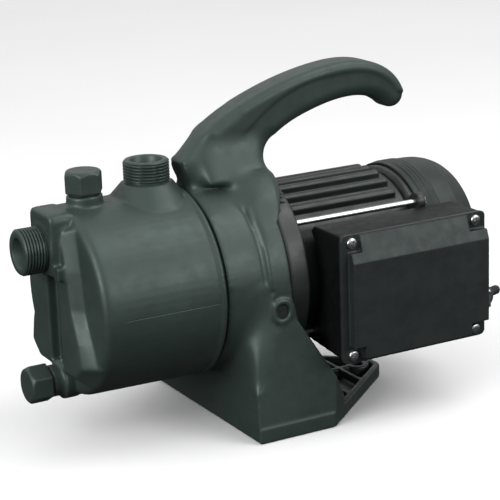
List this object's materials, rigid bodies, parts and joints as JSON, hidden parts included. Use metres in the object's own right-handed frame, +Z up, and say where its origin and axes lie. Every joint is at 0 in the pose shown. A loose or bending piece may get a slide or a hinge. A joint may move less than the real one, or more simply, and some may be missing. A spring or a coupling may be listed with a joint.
{
  "type": "shallow well jet pump",
  "caption": "Moulded jet pump with threaded suction and discharge ports, a carrying hook handle, a hollow foot, and a finned motor with a switch box on its side.",
  "frame": {"origin": "on the floor, midway between the two foot bolt holes, under the shaft axis", "axes": "+X along the shaft towards the motor, -Y towards the switch box, +Z up"},
  "size_m": [0.3563, 0.185, 0.2536],
  "materials": {
    "moulding": "satin moulded, dark green-grey",
    "black_plastic": "satin moulded",
    "cover_plastic": "satin moulded",
    "lid_plastic": "satin moulded",
    "motor_paint": "satin paint on cast aluminium",
    "zinc_steel": "zinc plated",
    "shaft_steel": "ground",
    "lamination": "varnished stack",
    "copper": "enamelled wire",
    "brass": "machined",
    "rubber": "matt",
    "ceramic": "glazed",
    "carbon": "lapped",
    "can_aluminium": "drawn can"
  },
  "bodies": {
    "pump": {"pump_casing": "moulding", "casing_oring": "rubber", "seal_plate": "black_plastic", "jet_nozzle": "black_plastic", "nozzle_oring": "rubber", "venturi_tube": "black_plastic", "diffuser": "black_plastic", "seal_seat": "ceramic", "casing_screws": "zinc_steel", "motor_bracket": "moulding", "bracket_bolts": "zinc_steel", "ring_screws": "zinc_steel", "motor_front_endbell": "motor_paint", "stator_frame": "motor_paint", "stator_core": "lamination", "stator_windings": "copper", "motor_rear_endbell": "motor_paint", "through_rods": "zinc_steel", "front_outer_race": "shaft_steel", "rear_outer_race": "shaft_steel", "wave_washer": "shaft_steel", "fan_cover": "cover_plastic", "fan_cover_screws": "zinc_steel", "terminal_box": "black_plastic", "box_gasket": "rubber", "terminal_box_lid": "lid_plastic", "lid_screws": "zinc_steel", "box_screws": "zinc_steel", "run_capacitor": "can_aluminium", "capacitor_strap": "zinc_steel", "terminal_block": "ceramic", "terminal_screws": "brass", "switch_body": "black_plastic", "switch_nut": "black_plastic", "cord_bushing": "rubber"},
    "rotor": {"motor_shaft": "shaft_steel", "rotor_core": "lamination", "front_inner_race": "shaft_steel", "rear_inner_race": "shaft_steel", "impeller": "black_plastic", "impeller_nut": "brass", "seal_rotating": "carbon", "seal_spring": "shaft_steel", "slinger": "rubber", "cooling_fan": "black_plastic", "fan_clip": "shaft_steel"},
    "bearing_balls": {"front_balls": "shaft_steel", "rear_balls": "shaft_steel", "front_cage": "brass", "rear_cage": "brass"},
    "priming_ring": {"priming_plug_oring": "rubber"},
    "priming_cap": {"priming_plug": "moulding"},
    "drain_ring": {"drain_plug_oring": "rubber"},
    "drain_cap": {"drain_plug": "moulding"},
    "toggle": {"toggle_lever": "zinc_steel", "toggle_boot": "rubber"}
  },
  "joints": [
    {"name": "shaft_spin", "type": "hinge", "parent": "pump", "child": "rotor", "pos_m": [0, 0, 0.107], "axis": [1, 0, 0], "continuous": true},
    {"name": "ball_orbit", "type": "hinge", "parent": "pump", "child": "bearing_balls", "pos_m": [0, 0, 0.107], "axis": [1, 0, 0], "continuous": true},
    {"name": "priming_lift", "type": "slide", "parent": "pump", "child": "priming_ring", "axis": [0, 0, 1], "range_m": [0, 0.0108]},
    {"name": "priming_unscrew", "type": "hinge", "parent": "priming_ring", "child": "priming_cap", "pos_m": [-0.165, 0, 0.1825], "axis": [0, 0, 1], "range_deg": [0, 2220]},
    {"name": "drain_lift", "type": "slide", "parent": "pump", "child": "drain_ring", "axis": [-1, 0, 0], "range_m": [0, 0.0108]},
    {"name": "drain_unscrew", "type": "hinge", "parent": "drain_ring", "child": "drain_cap", "pos_m": [-0.201, 0, 0.05], "axis": [-1, 0, 0], "range_deg": [0, 2220]},
    {"name": "switch_toggle", "type": "hinge", "parent": "pump", "child": "toggle", "pos_m": [0.119, -0.08, 0.076], "axis": [0, 1, 0], "range_deg": [0, 20]}
  ],
  "couplings": [
    {"joint": "ball_orbit", "follows": "shaft_spin", "ratio": 0.392},
    {"joint": "priming_unscrew", "follows": "priming_lift", "rad_per_m": 3463.2},
    {"joint": "drain_unscrew", "follows": "drain_lift", "rad_per_m": 3463.2}
  ]
}
